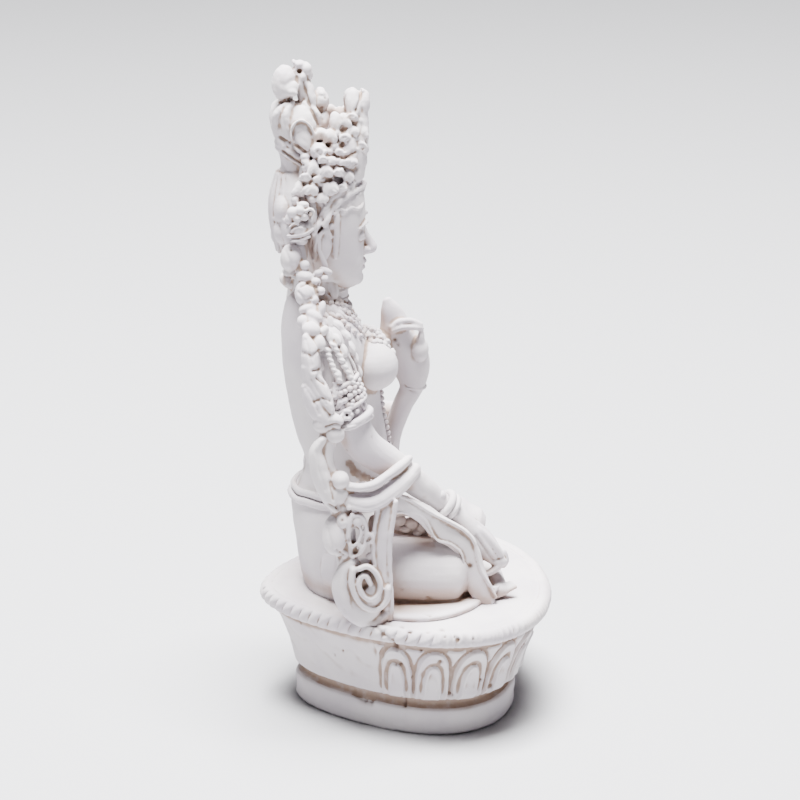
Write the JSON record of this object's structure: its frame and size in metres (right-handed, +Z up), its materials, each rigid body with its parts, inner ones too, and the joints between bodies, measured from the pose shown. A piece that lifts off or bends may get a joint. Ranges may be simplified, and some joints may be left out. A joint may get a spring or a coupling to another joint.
{
  "type": "tara statue",
  "caption": "Seated Tara on an egg-shaped lotus base, cast in one piece of white plaster, with tall crown, hair knot, falling scarves and one raised hand.",
  "frame": {"origin": "middle of the flat underside of the base", "axes": "+Z up, the figure faces -Y, its right side is -X"},
  "size_m": [0.1072, 0.0948, 0.2112],
  "materials": {
    "plaster": "matte"
  },
  "bodies": {
    "root": {"tara_statue": "plaster"}
  },
  "joints": []
}
